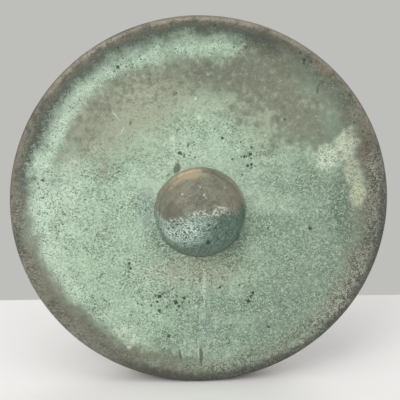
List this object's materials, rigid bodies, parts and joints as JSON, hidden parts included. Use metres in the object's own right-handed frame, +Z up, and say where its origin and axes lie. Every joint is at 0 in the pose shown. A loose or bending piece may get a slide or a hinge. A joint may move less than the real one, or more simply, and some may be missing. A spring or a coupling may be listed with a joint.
{
  "type": "bossed gong",
  "caption": "Hanging bronze gong: a round hammered face with a hollow boss, a leaning rim with a rolled back edge, and loose hanger rings linked through the rim.",
  "frame": {"origin": "midway between the two places where the hanger rings bear on the rolled back edge, on the line about which the rings swing", "axes": "+Z up as the gong hangs, +Y to its hollow back, so the struck face looks along -Y; +X to the right of someone facing it"},
  "size_m": [0.4999, 0.1372, 0.4999],
  "materials": {
    "face_bronze": "hammered bronze under matt mint-green verdigris, bare dark brown towards the shoulder",
    "boss_bronze": "rubbed taupe bronze above, speckled blue-green verdigris below",
    "rim_bronze": "dark brown aged bronze with green in the corners",
    "dark_bronze": "dark brown bronze, brighter where it rubs",
    "core_wire": "plain drawn wire"
  },
  "bodies": {
    "gong": {"face_plate": "face_bronze", "boss_dome": "boss_bronze", "boss_backing_ring": "dark_bronze", "rim_band": "rim_bronze", "rim_core_wire": "core_wire"},
    "ring_left": {"hanger_ring_left": "dark_bronze"},
    "ring_right": {"hanger_ring_right": "dark_bronze"}
  },
  "joints": [
    {"name": "left_ring_swing", "type": "hinge", "parent": "gong", "child": "ring_left", "pos_m": [-0.08103, 0, 0], "axis": [1, 0, 0], "range_deg": [0, 165]},
    {"name": "right_ring_swing", "type": "hinge", "parent": "gong", "child": "ring_right", "pos_m": [0.08103, 0, 0], "axis": [1, 0, 0], "range_deg": [0, 165]}
  ]
}
